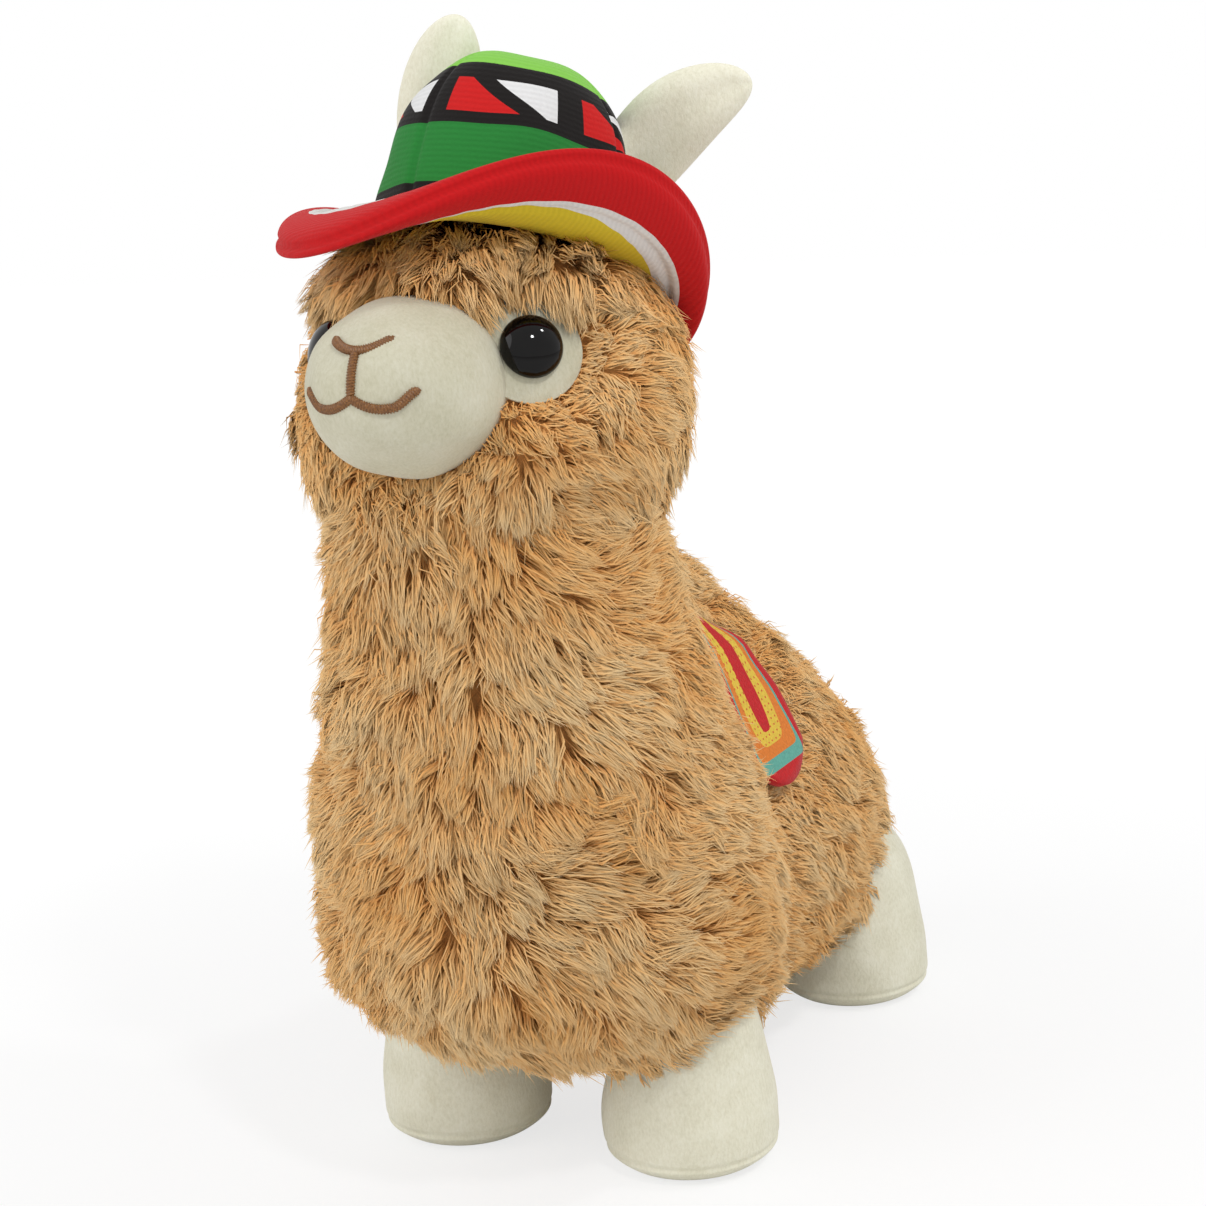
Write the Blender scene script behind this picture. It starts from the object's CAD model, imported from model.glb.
# Looks of the plush alpaca: shaggy fur, short-pile cream cloth, ribbed hat, printed blanket and glossy eyes.
# Lengths are in metres and angles in degrees.
import itertools
import math

import bmesh
import bpy
import numpy as np
from mathutils import Matrix, Vector


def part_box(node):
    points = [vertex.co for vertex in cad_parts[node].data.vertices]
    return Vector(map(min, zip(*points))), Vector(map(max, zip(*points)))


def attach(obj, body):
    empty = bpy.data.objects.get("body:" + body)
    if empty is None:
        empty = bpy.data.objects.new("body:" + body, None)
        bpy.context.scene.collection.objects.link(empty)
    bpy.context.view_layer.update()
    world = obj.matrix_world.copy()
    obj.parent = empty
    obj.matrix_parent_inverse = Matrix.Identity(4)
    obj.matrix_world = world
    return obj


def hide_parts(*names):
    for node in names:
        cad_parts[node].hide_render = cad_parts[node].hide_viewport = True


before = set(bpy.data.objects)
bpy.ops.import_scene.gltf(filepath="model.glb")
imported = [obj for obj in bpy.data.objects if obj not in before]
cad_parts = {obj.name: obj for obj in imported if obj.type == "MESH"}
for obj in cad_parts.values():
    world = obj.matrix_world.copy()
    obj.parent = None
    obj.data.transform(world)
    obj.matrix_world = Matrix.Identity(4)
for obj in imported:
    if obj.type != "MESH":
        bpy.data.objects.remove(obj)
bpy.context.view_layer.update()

perMillimetre = 1000.0  # noise counts its spots in a metre

# The toy's own origin, from its front feet: every place below is measured from it.
footLeft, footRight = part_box("foot_front_left"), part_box("foot_front_right")
footPlace = {"frontY": -0.0499, "stride": 0.1158, "track": 0.0626}
origin = np.array([
    sum(corner.x for corner in (*footLeft, *footRight)) / 4,
    (footLeft[0].y + footLeft[1].y) / 2 - footPlace["frontY"],
    0.0,
])


# sRGB hex to linear light: a dark channel is divided by 12.92, any other is shifted, scaled, raised to 2.4.
def toLinear(colour):
    channels = np.array([int(colour[i:i + 2], 16) for i in (1, 3, 5)]) / 255
    linear = np.where(channels <= 0.04045, channels / 12.92, ((channels + 0.055) / 1.055) ** 2.4)
    return (*linear.tolist(), 1.0)


# An even step from 0 to 1: three times x squared less twice x cubed.
def smoothStep(x):
    x = np.clip(x, 0.0, 1.0)
    return x * x * (3 - 2 * x)


# Each vector divided by its own length.
def unit(vectors):
    return vectors / np.maximum(np.linalg.norm(vectors, axis=-1, keepdims=True), 1e-12)


# Sets a node's sockets, by name or in order. A node given as a value stands for its own first output.
def connect(node, inputs):
    for name, value in inputs.items() if isinstance(inputs, dict) else enumerate(inputs):
        value = value.outputs[0] if isinstance(value, bpy.types.Node) else value
        if isinstance(value, bpy.types.NodeSocket):
            node.id_data.links.new(value, node.inputs[name])
        else:
            node.inputs[name].default_value = value


# Adds a node with its settings, its sockets' values or links, and its colour stops.
def addNode(tree, kind, inputs=(), stops=(), **settings):
    node = tree.nodes.new("ShaderNode" + kind)
    for name, value in settings.items():
        setattr(node, name, value)
    connect(node, inputs)
    for i, (place, colour) in enumerate(stops):
        ramp = node.color_ramp.elements
        stop = ramp[i] if i < 2 else ramp.new(place)
        stop.position = place
        stop.color = toLinear(colour)
    return node


# A new material with its Principled shader's constants set straight on the sockets.
def newMaterial(name, **constants):
    made = bpy.data.materials.new(name)
    made.use_nodes = True
    shader = made.node_tree.nodes["Principled BSDF"]
    for socket, value in constants.items():
        shader.inputs[socket.replace("_", " ")].default_value = value
    return made, made.node_tree, shader


# A new object in the scene that carries a mesh, a lamp or a camera.
def addObject(name, data):
    made = bpy.data.objects.new(name, data)
    bpy.context.scene.collection.objects.link(made)
    return made


# Puts points and face arrays into a mesh object at the origin, turned outwards by the sign of its volume.
def addPiece(name, points, faces, material, uv=None, normals=None):
    points = points.reshape(-1, 3).astype(np.float64)
    corners = np.concatenate([np.stack([f[:, 0], f[:, k], f[:, k + 1]], 1)
                              for f in faces for k in range(1, f.shape[1] - 1)])
    a, b, c = (points[corners[:, k]] for k in range(3))
    if np.einsum("ij,ij->i", a, np.cross(b, c)).sum() < 0:
        faces = [f[:, ::-1] for f in faces]
    loops = np.concatenate([f.ravel() for f in faces]).astype(np.int32)
    sizes = np.concatenate([np.full(len(f), f.shape[1]) for f in faces])
    starts = np.concatenate([[0], np.cumsum(sizes)[:-1]]).astype(np.int32)
    mesh = bpy.data.meshes.new(name)
    mesh.vertices.add(len(points))
    mesh.vertices.foreach_set("co", points.astype(np.float32).ravel())
    mesh.loops.add(len(loops))
    mesh.loops.foreach_set("vertex_index", loops)
    mesh.polygons.add(len(starts))
    mesh.polygons.foreach_set("loop_start", starts)
    mesh.update(calc_edges=True)
    if uv is not None:
        layer = mesh.uv_layers.new(name="OFBake")
        layer.data.foreach_set("uv", uv.reshape(-1, 2)[loops].astype(np.float32).ravel())
    mesh.shade_smooth()
    if normals is not None:
        mesh.normals_split_custom_set_from_vertices(normals.reshape(-1, 3))
    mesh.materials.append(material)
    made = addObject(name, mesh)
    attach(made, "root")
    return made


# The faces of rings that close on themselves, fanned to a point at each end. The two end points come last.
def ringFaces(rings, sides):
    index = np.arange(rings * sides).reshape(rings, sides)
    low, high = index[:-1], index[1:]
    quads = np.stack([low, np.roll(low, -1, 1), np.roll(high, -1, 1), high], -1).reshape(-1, 4)
    first, last = rings * sides, rings * sides + 1
    start = np.stack([np.roll(index[0], -1), index[0], np.full(sides, first)], -1)
    end = np.stack([index[-1], np.roll(index[-1], -1), np.full(sides, last)], -1)
    return [quads, start, end]


# A closed skin through rings and the point at each end, moved from the toy's origin to the frame.
def addSkin(name, rings, first, last, material, uv=None):
    points = np.concatenate([rings.reshape(-1, 3), [first], [last]]) + origin
    if uv is not None:
        ends = np.array([[0.5, uv[0, :, 1].mean()], [0.5, uv[-1, :, 1].mean()]])
        uv = np.concatenate([uv.reshape(-1, 2), ends])
    return addPiece(name, points, ringFaces(*rings.shape[:2]), material, uv)


# Corner cutting: each pass puts points at a quarter and three quarters of every side, and keeps the ends.
def rounded(profile, passes):
    line = np.array(profile, float)
    for _ in range(passes):
        a, b = line[:-1], line[1:]
        cut = np.stack([0.75 * a + 0.25 * b, 0.25 * a + 0.75 * b], 1).reshape(-1, 2)
        line = np.concatenate([line[:1], cut, line[-1:]])
    return line


# A smooth field between about -1 and 1: sine waves that cross the place in four directions.
def ripple(points, size, salt):
    ways = np.array([[1.0, 0.6, -0.4], [-0.5, 1.0, 0.7], [0.8, -0.7, 1.0], [-0.9, -0.4, -0.8]])
    phase = points @ ways.T * (2 * math.pi / size) + salt * np.array([1.0, 2.3, 3.1, 4.7])
    return np.sin(phase).mean(-1) * 1.6


# A unit ball in level rings round Z, without its poles: products of the sines and cosines of two angles.
def ball(rings, sides):
    polar = np.linspace(0, math.pi, rings + 2)[1:-1, None]
    around = np.linspace(0, 2 * math.pi, sides, endpoint=False)[None, :]
    level = np.sin(polar)
    return np.stack([level * np.cos(around), level * np.sin(around), np.cos(polar) + 0 * around], -1)


print("materials")


# Shaggy polyester pile: long fine fibres in soft locks, matt, orange-brown near the cloth and pale at the
# tips. u is the lock's own shade and v the place along it.
def longPile():
    made, tree, shader = newMaterial("longPilePolyester", Roughness=0.7, Specular_IOR_Level=0.10)
    parts = addNode(tree, "SeparateXYZ", [addNode(tree, "UVMap", uv_map="OFBake")])
    warm = addNode(tree, "ValToRGB", [parts.outputs["Y"]],
                   [(0.0, "#D87F36"), (0.30, "#E69A52"), (0.62, "#EEB36B"), (1.0, "#F4C485")])
    pale = addNode(tree, "ValToRGB", [parts.outputs["Y"]],
                   [(0.0, "#E89D53"), (0.30, "#F1B874"), (0.62, "#F2C98F"), (1.0, "#F5D8A8")])
    blend = addNode(tree, "Mix", {"Factor": parts.outputs["X"], "A": warm, "B": pale}, data_type="RGBA")
    connect(shader, {"Base Color": blend.outputs["Result"]})
    return made


# A finish that wanders between two near tones by a noise of so many spots a millimetre. A depth roughens it.
def mottled(name, low, high, spots, detail=2.0, depth=0.0, **constants):
    made, tree, shader = newMaterial(name, **constants)
    place = addNode(tree, "TexCoord").outputs["Object"]
    grain = addNode(tree, "TexNoise", {"Vector": place, "Scale": spots * perMillimetre, "Detail": detail})
    connect(shader, {"Base Color": addNode(tree, "ValToRGB", [grain], [(0.3, low), (0.7, high)])})
    if depth:
        bump = addNode(tree, "Bump", {"Height": grain, "Distance": depth, "Strength": 0.6})
        connect(shader, {"Normal": bump})
    return made


# Velboa: a knit with a pile about 1.5 mm long, brushed one way. It gives a soft mottle, a faint rim at
# grazing light and no gloss. Its fibres are finer than a pixel, so their mottle is drawn about 0.7 mm wide.
def shortPile(name, low, middle, high):
    made, tree, shader = newMaterial(name, Roughness=0.85, Sheen_Weight=0.15, Sheen_Roughness=0.45,
                                     Specular_IOR_Level=0.15)
    place = addNode(tree, "TexCoord").outputs["Object"]
    stretch = addNode(tree, "Mapping", {"Vector": place, "Scale": (1.0, 1.0, 0.55)})
    fibres = addNode(tree, "TexNoise", {"Vector": stretch, "Scale": 1.5 * perMillimetre, "Detail": 4.0,
                                        "Roughness": 0.65})
    brushed = addNode(tree, "TexNoise", {"Vector": place, "Scale": 0.11 * perMillimetre, "Detail": 3.0})
    tone = addNode(tree, "Mix", {"Factor": 0.4, "A": fibres, "B": brushed}).outputs["Result"]
    colour = addNode(tree, "ValToRGB", [tone], [(0.30, low), (0.50, middle), (0.72, high)])
    bump = addNode(tree, "Bump", {"Height": tone, "Distance": 0.0005, "Strength": 0.55})
    connect(shader, {"Base Color": colour, "Normal": bump})
    return made


fibreFur = longPile()

# The knit that the pile grows from: light brown in the gaps between the locks.
backing = mottled("pileBacking", "#B0743A", "#C68A4A", 0.42, 3.0, 0.0008, Roughness=0.9)

# The same cream pile in three tones, each matched to the photo: muzzle and patches, feet, and ears.
velboa = shortPile("creamVelboa", "#BAB69C", "#C7C3AC", "#D2CFBC")
footVelboa = shortPile("footVelboa", "#D2CEB6", "#E0DDC8", "#EBE9D8")
earVelboa = shortPile("earVelboa", "#DBD7C0", "#E9E6D2", "#F3F1E2")

# Acrylic of a safety eye, moulded and polished: black with a clear hard highlight.
blackPlastic = mottled("blackAcrylic", "#040303", "#080605", 0.3, Roughness=0.05, IOR=1.49,
                       Specular_IOR_Level=0.22)

# Polypropylene of the washer inside the head, as moulded: milky and dull.
whitePlastic = mottled("whitePolypropylene", "#DAD7CF", "#E9E7E1", 0.2, Roughness=0.4)

# Rayon embroidery thread in satin stitch: brown, with a silky gleam.
brownThread = mottled("brownRayonThread", "#5E3815", "#8E5F2E", 2.6, Roughness=0.42, Specular_IOR_Level=0.5)


print("short-pile pieces")

face = {
    "centre": np.array([0.0, -0.0680, 0.1900]),
    "furRadius": 0.0470, "furHalfHeight": 0.0490, "radius": 0.0390,
    "eyeTurn": 44.0, "eyeRise": 0.0138, "eyeRadius": 0.0070, "eyeDome": 0.0046,
    "shank": 0.0022, "shankLength": 0.0130, "patchRadius": 0.0124, "patchThickness": 0.0024, "seat": 0.0003,
}


# A frame on the face's cloth at an eye: its own +Z points out of the face at the eye's turn and rise.
def eyeFrame(side):
    turn = math.radians(face["eyeTurn"])
    level = math.sqrt(face["radius"] ** 2 - face["eyeRise"] ** 2)
    out = Vector((side * level * math.sin(turn), -level * math.cos(turn), face["eyeRise"]))
    return Matrix.Translation(Vector(face["centre"]) + out) @ out.to_track_quat("Z", "Y").to_matrix().to_4x4()


# Points moved by a matrix: its rotation, then its translation.
def placed(points, matrix):
    turn = np.array(matrix)
    return points @ turn[:3, :3].T + turn[:3, 3]


# The point at a height on an eye's own axis.
def onEyeAxis(side, height):
    return placed(np.array([[0.0, 0.0, height]]), eyeFrame(side))[0]


# A profile of (radius, height) turned round Z: each point goes round a circle of its radius.
def turned(profile, sides):
    angle = np.linspace(0, 2 * math.pi, sides, endpoint=False)
    radius, height = profile[:, 0, None], profile[:, 1, None]
    return np.stack([radius * np.cos(angle), radius * np.sin(angle), height + 0 * angle], -1)


muzzle = {
    "reach": 0.0355, "rise": 0.0066, "halfWidth": 0.0218, "halfDepth": 0.0240, "halfHeight": 0.0196,
    "dent": 0.00035, "dentSize": 0.019, "furOverlap": 0.0016,
}
muzzleMiddle = np.array([0.0, -muzzle["reach"], muzzle["rise"]])  # from the face's centre
muzzleHalf = np.array([muzzle["halfWidth"], muzzle["halfDepth"], muzzle["halfHeight"]])


# The muzzle: an oval ball in rings round its own Y axis. What lies inside the face is moved out to it.
def makeMuzzle():
    rings, sides = 70, 96
    centre = face["centre"] + muzzleMiddle
    shape = ball(rings, sides)[..., [0, 2, 1]] * np.array([1.0, -1.0, 1.0])
    ends = np.array([[0.0, -1.0, 0.0], [0.0, 1.0, 0.0]])
    points = np.concatenate([shape.reshape(-1, 3), ends]) * muzzleHalf + centre
    dents = muzzle["dent"] * ripple(points, muzzle["dentSize"], 1.0)
    points += unit(points - centre) * dents[:, None]
    away = points - face["centre"]
    distance = np.linalg.norm(away, axis=1, keepdims=True)
    back = face["radius"] - 1.5 * face["patchThickness"]
    points = face["centre"] + away * np.maximum(distance, back) / distance
    made = addPiece("muzzleVelboa", points + origin, ringFaces(rings, sides), velboa)
    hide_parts("muzzle")


# An eye patch: a cap of the face's sphere whose rim rolls over to its underside.
def makePatch(label, side):
    section = rounded([(1.0, -1.0), (1.0, -0.55), (1.0, -0.12), (0.94, 0.0), (0.8, 0.0), (0.5, 0.0),
                       (0.2, 0.0)], 2)
    spread = section[:, 0] * face["patchRadius"] / face["radius"]
    depth = section[:, 1]
    level = face["radius"] + np.where(depth > -0.05, -face["seat"], depth * face["patchThickness"])
    under = [(0.5, -1.0), (0.2, -1.0)]
    spread = np.concatenate([[s * face["patchRadius"] / face["radius"] for s, _ in under[::-1]], spread])
    level = np.concatenate([[face["radius"] - face["patchThickness"]] * 2, level])
    profile = np.stack([level * np.sin(spread), level * np.cos(spread) - face["radius"]], -1)
    rings = placed(turned(profile, 64), eyeFrame(side))
    low, high = onEyeAxis(side, -face["patchThickness"]), onEyeAxis(side, -face["seat"])
    made = addSkin(f"eyePatch{label.capitalize()}", rings, low, high, velboa)
    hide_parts(f"eye_patch_{label}")


# A safety eye: a quarter-oval dome over a rounded rim, on its shank.
def makeEye(label, side):
    rises = np.radians(np.arange(0, 88, 5))
    dome = [(face["eyeRadius"] * math.cos(a), face["eyeDome"] * math.sin(a)) for a in rises]
    shank = [(face["shank"] * 0.7, -face["shankLength"]), (face["shank"], -0.9 * face["shankLength"]),
             (face["shank"], -face["seat"]), (face["eyeRadius"] * 0.94, -face["seat"])]
    profile = np.array(shank + dome)
    rings = placed(turned(profile, 64), eyeFrame(side))
    low, high = onEyeAxis(side, -face["shankLength"]), onEyeAxis(side, face["eyeDome"])
    made = addSkin(f"safetyEye{label.capitalize()}", rings, low, high, blackPlastic)
    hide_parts(f"eye_{label}")


# A point on the muzzle's front and its outward normal, from places across and up the muzzle.
def onMuzzle(across, rise):
    left = 1 - (across / muzzle["halfWidth"]) ** 2 - (rise / muzzle["halfHeight"]) ** 2
    ahead = muzzle["halfDepth"] * np.sqrt(np.maximum(left, 0.04))
    point = np.stack([across, -ahead, rise], -1) + face["centre"] + muzzleMiddle
    normal = np.stack([across / muzzle["halfWidth"] ** 2, -ahead / muzzle["halfDepth"] ** 2,
                       rise / muzzle["halfHeight"] ** 2], -1)
    return point, unit(normal)


stitching = {
    "radius": 0.0010, "pitch": 0.00060, "noseHalfWidth": 0.0072, "noseRise": 0.0125, "noseDip": 0.0022,
    "philtrum": 0.0095, "smileHalfWidth": 0.0135, "smileDip": 0.0025, "smileLift": 0.0018,
    "swell": 0.13, "slant": 0.35, "flatness": 0.7, "endWidth": 0.55,
}


# A satin-stitched line: a flat oval cord whose width swells once for each stitch and narrows at both ends.
def stitchedLine(across, rise):
    count, sides = 420, 12
    step = np.linspace(0, len(across) - 1, count)
    across = np.interp(step, np.arange(len(across)), across)
    rise = np.interp(step, np.arange(len(rise)), rise)
    point, normal = onMuzzle(across, rise)
    along = unit(np.gradient(point, axis=0))
    side = unit(np.cross(along, normal))
    run = np.concatenate([[0], np.cumsum(np.linalg.norm(np.diff(point, axis=0), axis=1))])
    end = np.minimum(run, run[-1] - run)
    taper = smoothStep(end / stitching["radius"])
    width = stitching["radius"] * (stitching["endWidth"] + (1 - stitching["endWidth"]) * taper)
    width = width * (1 + stitching["swell"] * np.cos(run / stitching["pitch"] * 2 * math.pi))
    angle = np.linspace(0, 2 * math.pi, sides, endpoint=False)
    slant = along[:, None] * (stitching["slant"] * stitching["pitch"] * np.cos(angle))[None, :, None]
    sideways = side[:, None] * np.cos(angle)[None, :, None]
    outwards = stitching["flatness"] * normal[:, None] * np.sin(angle)[None, :, None]
    return point[:, None] + slant + width[:, None, None] * (sideways + outwards)


# Nose, philtrum and smile: a shallow bow, a straight line, and two bows that meet under it and lift outwards.
def makeEmbroidery():
    t = np.linspace(-1, 1, 61)
    noseTop = stitching["noseRise"]
    foot = noseTop - stitching["noseDip"] - stitching["philtrum"]
    sag = stitching["smileDip"] * np.sin(0.92 * math.pi * np.abs(t) ** 0.9)
    lift = stitching["smileLift"] * smoothStep((np.abs(t) - 0.65) / 0.35)
    half = np.linspace(0, 1, 21)
    lines = [
        (stitching["noseHalfWidth"] * t, noseTop - stitching["noseDip"] * (1 - t * t)),
        (0 * half, noseTop - stitching["noseDip"] - stitching["philtrum"] * half),
        (stitching["smileHalfWidth"] * t, foot - sag + lift),
    ]
    for name, (across, rise) in zip(("noseStitches", "philtrumStitches", "smileStitches"), lines):
        rings = stitchedLine(across, rise)
        made = addSkin(name, rings, rings[0].mean(0), rings[-1].mean(0), brownThread)
        if name == "smileStitches":
            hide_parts("nose_mouth_embroidery")


feet = {
    "radius": 0.0215, "sole": 0.0150, "ankle": 0.0180, "height": 0.0500,
    "seamHeight": 0.0050, "seamDepth": 0.0006, "seamWidth": 0.0007, "dent": 0.0007, "dentSize": 0.034,
}


# A stuffed foot: its profile turned round, drawn in along the sole's seam by a bell curve, with slow dents.
def makeFoot(name, x, y, node):
    r, sole, seam, ankle = feet["radius"], feet["sole"], feet["seamHeight"], feet["ankle"]
    profile = rounded([(0.3 * sole, 0.0), (sole * 0.8, 0.0), (sole + 0.2 * (r - sole), 0.0),
                       (r - 0.8 * feet["seamDepth"], 0.7 * seam), (r - 0.1 * feet["seamDepth"], seam),
                       (r, 1.7 * seam), (r * 0.995, 0.016), (0.93 * r, 0.024),
                       (ankle, 0.038), (ankle * 0.72, 0.0473), (ankle * 0.3, feet["height"])], 3)
    rings = turned(profile, 112)
    high = rings[..., 2]
    ring = unit(rings * np.array([1.0, 1.0, 0.0]))
    crease = np.exp(-((high - seam) / feet["seamWidth"]) ** 2)
    slow = ripple(rings + np.array([x, y, 0.0]) * 3, feet["dentSize"], 2.0)
    dents = feet["dent"] * slow * smoothStep(high / 0.012)
    rings = rings + ring * (dents - feet["seamDepth"] * crease)[..., None] + np.array([x, y, 0.0])
    made = addSkin(name, rings, (x, y, 0.0), (x, y, feet["height"]), footVelboa)
    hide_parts(node)


ears = {
    "halfWidth": 0.0111, "halfThickness": 0.0042, "back": 0.0280, "rise": 0.0260,
    "hollow": 0.28, "hollowWidth": 0.45, "dent": 0.0006, "dentSize": 0.03,
    "leftLength": 0.0595, "leftSpread": 0.0180, "leftLean": (4.0, 82.0), "leftTurn": 6.0, "leftFullest": 1.05,
    "rightLength": 0.0620, "rightSpread": 0.0200, "rightLean": (20.0, -28.0), "rightTurn": 14.0,
    "rightFullest": 1.45,
}


# An ear: a lens-shaped section carried along an arc whose lean goes evenly from root to tip, round at its tip
# and pressed in a little along its middle.
def makeEar(label, side):
    rows, sides = 60, 48
    t = (0.5 - 0.5 * np.cos(np.linspace(0, math.pi, rows + 2)))[:, None]
    start, end = (math.radians(value) for value in ears[f"{label}Lean"])
    here = start + (end - start) * t
    bend = ears[f"{label}Length"] / (end - start)
    across, up = bend * (math.cos(start) - np.cos(here)), bend * (np.sin(here) - math.sin(start))
    middle = np.stack([across, 0 * here, up], -1)
    around = np.linspace(0, 2 * math.pi, sides, endpoint=False)[None, :]
    width = ears["halfWidth"] * np.sin(math.pi * t ** ears[f"{label}Fullest"]) ** 0.5 * (0.8 + 0.2 * t)
    thick = ears["halfThickness"] * np.sin(math.pi * t) ** 0.4
    cosine, sine = np.cos(around), np.sin(around)
    hollow = 1 - ears["hollow"] * np.exp(-(cosine / ears["hollowWidth"]) ** 2)
    out = width * cosine
    ahead = thick * np.sign(sine) * np.abs(sine) ** 1.25 * hollow
    points = middle + np.stack([out * np.cos(here), ahead, -out * np.sin(here)], -1)
    points[..., 1] += ears["dent"] * ripple(points, ears["dentSize"], 5.0 + side)
    points[..., 0] *= side
    turn = Matrix.Rotation(math.radians(ears[f"{label}Turn"]), 4, "Z")
    root = face["centre"] + np.array([side * ears[f"{label}Spread"], ears["back"], ears["rise"]])
    points = placed(points, Matrix.Translation(root) @ turn)
    made = addSkin(f"ear{label.capitalize()}", points[1:-1], points[0].mean(0), points[-1].mean(0),
                   earVelboa)
    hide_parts(f"ear_{label}")


makeMuzzle()
makeEmbroidery()
for label, side in (("left", 1), ("right", -1)):
    makePatch(label, side)
    makeEye(label, side)
    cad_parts[f"eye_washer_{label}"].material_slots[0].material = whitePlastic
    for end, y in (("Front", footPlace["frontY"]), ("Rear", footPlace["frontY"] + footPlace["stride"])):
        footName, x = f"foot{end}{label.capitalize()}", side * footPlace["track"] / 2
        makeFoot(footName, x, y, f"foot_{end.lower()}_{label}")
makeEar("left", 1)
makeEar("right", -1)


print("hat")

hat = {
    "place": np.array([0.0025, -0.0645, 0.2230]), "tiltBack": 20.5, "tiltLeft": 4.0,
    "crownRadius": 0.0280, "crownTop": 0.0440, "crownBottom": -0.0004, "seamDepth": 0.0009,
    "edgeSeam": 0.0006, "shoulder": 3.2, "crownRib": 0.0013, "brimRib": 0.0011,
    "lift": 0.0060, "liftTurn": -58.0, "liftSpread": 48.0,
    "seams": (-109.0, 1.0, 125.0),
    "brimRadius": 0.0490, "innerThickness": 0.0050, "edgeThickness": 0.0085,
    "wave": 0.0115, "waveTurn": -22.0,
    "redBand": 0.0090, "gap": 0.0003, "dent": 0.0006, "dentSize": 0.026, "seamWidth": 0.0010,
    "bindingPinch": 0.22, "puckers": 37, "puckerDepth": 0.035, "underHat": 0.0030,
}

# Shares of the crown's height, of a cell round it and of the band's height, from the brim upwards. The brim's
# ribs lie across their way, and its bands underneath drift round it.
hatPrint = {
    "greenFrom": 0.16, "squaresFrom": 0.475, "squaresTo": 0.82, "cells": 5.0, "cellShift": 0.376,
    "slope": 1.37, "redBelow": 0.93, "whiteAbove": 1.18,
    "cellMiddleAndHalf": (0.41, 0.39), "bandMiddleAndHalf": (0.46, 0.27),
    "ribWeight": 0.22, "brimRibWay": (0.35, 0.94, 0.25),
    "underDrift": 0.026, "underTurn": 1.22,
}

hatFinish = {"Roughness": 0.75, "Sheen_Weight": 0.04, "Specular_IOR_Level": 0.15}


# The hat's frame: its brim's centre, turned back and then to the left.
def hatFrame():
    back = Matrix.Rotation(math.radians(-hat["tiltBack"]), 4, "X")
    left = Matrix.Rotation(math.radians(hat["tiltLeft"]), 4, "Y")
    return Matrix.Translation(hat["place"]) @ left @ back


# Height of the brim's middle surface: a wave twice round and a bell-shaped lift at the front, which both grow
# outwards, less a slight dish.
def brimHeight(angle, share):
    wave = hat["wave"] * np.cos(2 * (angle - math.radians(hat["waveTurn"])))
    away = (angle - math.radians(hat["liftTurn"]) + math.pi) % (2 * math.pi) - math.pi
    lift = hat["lift"] * np.exp(-(away / math.radians(hat["liftSpread"])) ** 2)
    return (wave + lift) * share ** 1.4 - 0.25 * hat["wave"] * share ** 2


# Printed polyester knit of the crown, with fine ribs round it 1.3 mm apart: from the brim up a black band, a
# green band, a black band of red and white half squares, and a lime top. u goes round and v up.
def crownCloth():
    made, tree, shader = newMaterial("printedCrownKnit", **hatFinish)
    parts = addNode(tree, "SeparateXYZ", [addNode(tree, "UVMap", uv_map="OFBake")])
    up = parts.outputs["Y"]
    low, high = hatPrint["squaresFrom"], hatPrint["squaresTo"]
    bands = addNode(tree, "ValToRGB", [up], [(0.0, "#130F0E"), (hatPrint["greenFrom"], "#257B33"),
                                             (low, "#130F0E"), (high, "#82C44E")])
    bands.color_ramp.interpolation = "CONSTANT"
    cells = addNode(tree, "Math", [parts.outputs["X"], hatPrint["cells"]], operation="MULTIPLY")
    shifted = addNode(tree, "Math", [cells, hatPrint["cellShift"]], operation="ADD")
    across = addNode(tree, "Math", [shifted], operation="FRACT")
    rise = addNode(tree, "MapRange", {"Value": up, "From Min": low, "From Max": high})
    slope = addNode(tree, "Math", [across, hatPrint["slope"], rise], operation="MULTIPLY_ADD")
    withinCell = addNode(tree, "Math", [across, *hatPrint["cellMiddleAndHalf"]], operation="COMPARE")
    withinBand = addNode(tree, "Math", [rise, *hatPrint["bandMiddleAndHalf"]], operation="COMPARE")
    window = addNode(tree, "Math", [withinCell, withinBand], operation="MULTIPLY")
    printed = bands.outputs["Color"]
    for limit, test, colour in ((hatPrint["redBelow"], "LESS_THAN", "#C41A1A"),
                                (hatPrint["whiteAbove"], "GREATER_THAN", "#DCDCDC")):
        isHere = addNode(tree, "Math", [slope, limit], operation=test)
        part = addNode(tree, "Math", [window, isHere], operation="MULTIPLY")
        mix = addNode(tree, "Mix", {"Factor": part, "A": printed, "B": toLinear(colour)}, data_type="RGBA")
        printed = mix.outputs["Result"]
    ribs = addNode(tree, "Math", [up, 2 * math.pi * hat["crownTop"] / hat["crownRib"]], operation="MULTIPLY")
    finishCloth(tree, shader, printed, ribs)
    return made


# Printed knit of the brim, ribbed 1.1 mm apart: v goes from the crown out over the edge and back in
# underneath. Red lies round the edge, then white, then yellow.
def brimCloth():
    made, tree, shader = newMaterial("printedBrimKnit", **hatFinish)
    parts = addNode(tree, "SeparateXYZ", [addNode(tree, "UVMap", uv_map="OFBake")])
    bands = addNode(tree, "ValToRGB", [parts.outputs["Y"]],
                    [(0.0, "#CDB52C"), (0.23, "#D8D5D2"), (0.30, "#BD1014"), (0.70, "#D8D5D2"),
                     (0.76, "#CDB52C")])
    bands.color_ramp.interpolation = "CONSTANT"
    place = addNode(tree, "TexCoord").outputs["Object"]
    along = addNode(tree, "VectorMath", [place, hatPrint["brimRibWay"]], operation="DOT_PRODUCT")
    ribs = addNode(tree, "Math", [along.outputs["Value"], 2 * math.pi / hat["brimRib"]], operation="MULTIPLY")
    finishCloth(tree, shader, bands, ribs)
    return made


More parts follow.
